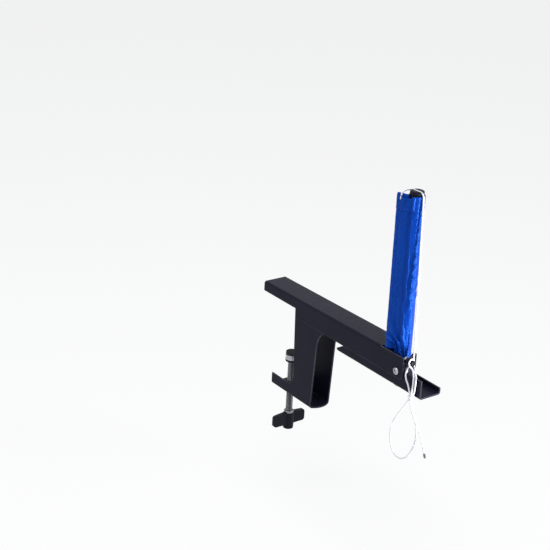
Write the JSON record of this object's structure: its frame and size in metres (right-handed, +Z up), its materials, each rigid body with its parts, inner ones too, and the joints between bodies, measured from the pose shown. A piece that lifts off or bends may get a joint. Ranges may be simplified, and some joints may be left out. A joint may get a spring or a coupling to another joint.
{
  "type": "table tennis net clamp",
  "caption": "Screw clamp with a channel arm, an upright net post in a cloth end sleeve and a tension cord on a peg.",
  "frame": {"origin": "middle of the clamp's seat on the table top, at the table's side edge", "axes": "+X away from the table along the arm, +Z up along the post, +Y to the far side of the net"},
  "size_m": [0.2453, 0.038, 0.2991],
  "materials": {
    "black_paint": "satin powder coat",
    "zinc": "zinc plated",
    "black_plastic": "moulded, satin",
    "black_rubber": "matte",
    "sleeve_cloth": "satin polyester",
    "cord_white": "braided polyester",
    "tip_grey": "shrunk sleeve"
  },
  "bodies": {
    "root": {"top_arm": "black_paint", "arm_pad": "black_rubber", "clamp_frame": "black_paint", "weld_nut": "black_paint", "post_carrier": "black_paint", "post_socket": "black_paint", "post_tube": "black_paint", "post_plug": "zinc", "post_bolt": "zinc", "post_washer": "zinc", "post_cap": "black_plastic", "side_screws": "zinc", "side_nuts": "zinc", "peg_bracket": "black_paint", "cord_peg": "black_plastic", "peg_nut": "zinc", "net_sleeve": "sleeve_cloth", "tension_cord": "cord_white", "cord_knot": "cord_white", "cord_tip": "tip_grey"},
    "pad": {"pressure_cup": "zinc", "pad_face": "black_rubber", "pad_retainer": "black_plastic"},
    "screw": {"clamp_screw": "zinc", "wing_knob": "black_plastic", "knob_insert": "zinc"}
  },
  "joints": [
    {"name": "pad_travel", "type": "slide", "parent": "root", "child": "pad", "axis": [0, 0, 1], "range_m": [-0.02, 0.025]},
    {"name": "screw_turn", "type": "hinge", "parent": "pad", "child": "screw", "pos_m": [-0.016, 0, -0.1], "axis": [0, 0, 1], "range_deg": [-7202, 9002]}
  ],
  "couplings": [
    {"joint": "screw_turn", "follows": "pad_travel", "rad_per_m": 6283.2}
  ]
}
